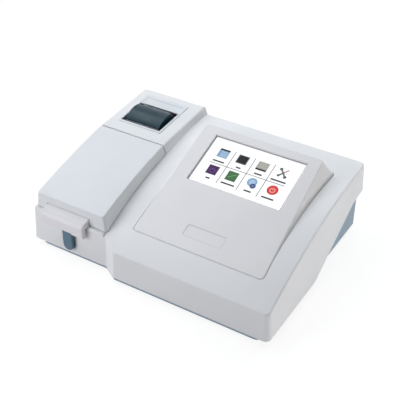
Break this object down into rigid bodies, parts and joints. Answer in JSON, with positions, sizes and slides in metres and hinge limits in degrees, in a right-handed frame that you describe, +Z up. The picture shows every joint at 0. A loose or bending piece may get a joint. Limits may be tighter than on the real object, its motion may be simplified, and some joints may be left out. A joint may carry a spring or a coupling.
{
  "type": "semi-automatic chemistry analyzer",
  "caption": "Low bench-top analyzer with a tilted touch screen, a hinged flap over a flow-cell bay, a slip printer behind it and a sampling head with a key at the front.",
  "frame": {"origin": "centre of the base's bounding rectangle, on the table under the rubber feet", "axes": "+X to the user's right along the housing's width, +Y to the back, +Z up"},
  "size_m": [0.41, 0.3138, 0.1437],
  "materials": {
    "upper_cover": "moulded plastic, fine texture",
    "sampling_bay": "moulded plastic",
    "printer_housing": "moulded plastic, fine texture",
    "display_panel": "moulded plastic, fine texture",
    "screen_gasket": "foam",
    "touch_glass": "picture under glass",
    "lcd_module": "folded metal rim",
    "display_bracket": "zinc-plated sheet",
    "flap_cover": "moulded plastic, fine texture",
    "flap_hinge_pins": "ground",
    "sampling_head": "moulded plastic, fine texture",
    "sample_key": "coloured plastic",
    "key_pivot_pin": "ground",
    "key_switch": "moulded plastic",
    "switch_bracket": "zinc-plated sheet",
    "aspiration_probe": "polished tube",
    "inlet_tube": "clear tube",
    "flow_cell_block": "black anodised",
    "flow_cell": "quartz",
    "flow_cell_cap": "machined plastic",
    "detector_housing": "black anodised",
    "transfer_tube": "clear tube",
    "pump_tube": "silicone",
    "waste_port": "moulded plastic",
    "pump_housing": "moulded plastic",
    "pump_rotor": "moulded plastic",
    "roller_pins": "ground",
    "pump_motor": "black, with bare laminations",
    "optical_bench": "painted casting",
    "filter_wheel": "black anodised",
    "colour_filters": "coated glass",
    "filter_motor": "nickel-plated can",
    "collimator_barrel": "black anodised",
    "collimator_lens": "polished",
    "lamp_housing": "die-cast",
    "halogen_lamp": "quartz capsule on a ceramic foot",
    "printer_frame": "moulded plastic, fine texture",
    "printer_door": "smoked, polished",
    "platen_roller": "ground rubber",
    "door_hinge_pin": "ground",
    "printer_body": "moulded plastic",
    "paper_roll": "thermal paper",
    "print_head": "heat sink with a glazed bar",
    "base_tray": "moulded plastic, fine texture",
    "cover_screws": "zinc-plated",
    "rubber_feet": "moulded rubber",
    "rear_plate": "zinc-plated sheet",
    "mains_inlet": "moulded plastic",
    "switch_frame": "moulded plastic",
    "power_rocker": "moulded plastic",
    "data_ports": "nickel-plated shell",
    "fan_frame": "moulded plastic",
    "fan_rotor": "moulded plastic",
    "main_board": "coated circuit board",
    "board_standoffs": "turned",
    "power_supply": "folded sheet",
    "pump_roller_1": "turned plastic",
    "pump_roller_2": "turned plastic",
    "pump_roller_3": "turned plastic"
  },
  "bodies": {
    "housing": {"upper_cover": "upper_cover", "sampling_bay": "sampling_bay", "printer_housing": "printer_housing", "display_panel": "display_panel", "screen_gasket": "screen_gasket", "touch_glass": "touch_glass", "lcd_module": "lcd_module", "display_bracket": "display_bracket", "flap_hinge_pins": "flap_hinge_pins", "sampling_head": "sampling_head", "key_pivot_pin": "key_pivot_pin", "key_switch": "key_switch", "switch_bracket": "switch_bracket", "aspiration_probe": "aspiration_probe", "inlet_tube": "inlet_tube", "flow_cell_block": "flow_cell_block", "flow_cell": "flow_cell", "flow_cell_cap": "flow_cell_cap", "detector_housing": "detector_housing", "transfer_tube": "transfer_tube", "pump_tube": "pump_tube", "waste_port": "waste_port", "pump_housing": "pump_housing", "pump_motor": "pump_motor", "optical_bench": "optical_bench", "filter_motor": "filter_motor", "collimator_barrel": "collimator_barrel", "collimator_lens": "collimator_lens", "lamp_housing": "lamp_housing", "halogen_lamp": "halogen_lamp", "printer_frame": "printer_frame", "door_hinge_pin": "door_hinge_pin", "printer_body": "printer_body", "paper_roll": "paper_roll", "print_head": "print_head", "base_tray": "base_tray", "cover_screws": "cover_screws", "rubber_feet": "rubber_feet", "rear_plate": "rear_plate", "mains_inlet": "mains_inlet", "switch_frame": "switch_frame", "data_ports": "data_ports", "fan_frame": "fan_frame", "main_board": "main_board", "board_standoffs": "board_standoffs", "power_supply": "power_supply"},
    "flap": {"flap_cover": "flap_cover"},
    "printer_lid": {"printer_door": "printer_door"},
    "platen": {"platen_roller": "platen_roller"},
    "key": {"sample_key": "sample_key"},
    "pump_wheel": {"pump_rotor": "pump_rotor", "roller_pins": "roller_pins"},
    "roller_one": {"pump_roller_1": "pump_roller_1"},
    "roller_two": {"pump_roller_2": "pump_roller_2"},
    "roller_three": {"pump_roller_3": "pump_roller_3"},
    "filter_disc": {"filter_wheel": "filter_wheel", "colour_filters": "colour_filters"},
    "fan": {"fan_rotor": "fan_rotor"},
    "rocker": {"power_rocker": "power_rocker"}
  },
  "joints": [
    {"name": "flap_hinge", "type": "hinge", "parent": "housing", "child": "flap", "pos_m": [0, 0.02257, 0.1185], "axis": [-1, 0, 0], "range_deg": [0, 75]},
    {"name": "printer_lid_hinge", "type": "hinge", "parent": "housing", "child": "printer_lid", "pos_m": [-0.1429, 0.10505, 0.12761], "axis": [-1, 0, 0], "range_deg": [0, 80]},
    {"name": "platen_spin", "type": "hinge", "parent": "printer_lid", "child": "platen", "pos_m": [-0.1429, 0.06714, 0.11901], "axis": [1, 0, 0], "continuous": true},
    {"name": "key_press", "type": "hinge", "parent": "housing", "child": "key", "pos_m": [-0.1355, -0.14243, 0.057], "axis": [1, 0, 0], "range_deg": [0, 4], "stiffness_Nm_per_rad": 0.8, "springref_deg": -1.72},
    {"name": "pump_spin", "type": "hinge", "parent": "housing", "child": "pump_wheel", "pos_m": [-0.13, -0.01793, 0.045], "axis": [0, 0, 1], "continuous": true},
    {"name": "roller_one_spin", "type": "hinge", "parent": "pump_wheel", "child": "roller_one", "pos_m": [-0.13, -0.00373, 0.049], "axis": [0, 0, 1], "continuous": true},
    {"name": "roller_two_spin", "type": "hinge", "parent": "pump_wheel", "child": "roller_two", "pos_m": [-0.1423, -0.02503, 0.049], "axis": [0, 0, 1], "continuous": true},
    {"name": "roller_three_spin", "type": "hinge", "parent": "pump_wheel", "child": "roller_three", "pos_m": [-0.1177, -0.02503, 0.049], "axis": [0, 0, 1], "continuous": true},
    {"name": "filter_spin", "type": "hinge", "parent": "housing", "child": "filter_disc", "pos_m": [-0.0405, -0.06093, 0.054], "axis": [1, 0, 0], "continuous": true},
    {"name": "fan_spin", "type": "hinge", "parent": "housing", "child": "fan", "pos_m": [0.118, 0.14403, 0.044], "axis": [0, 1, 0], "continuous": true},
    {"name": "power_rock", "type": "hinge", "parent": "housing", "child": "rocker", "pos_m": [-0.118, 0.14903, 0.035], "axis": [0, 0, -1], "range_deg": [0, 12]}
  ]
}
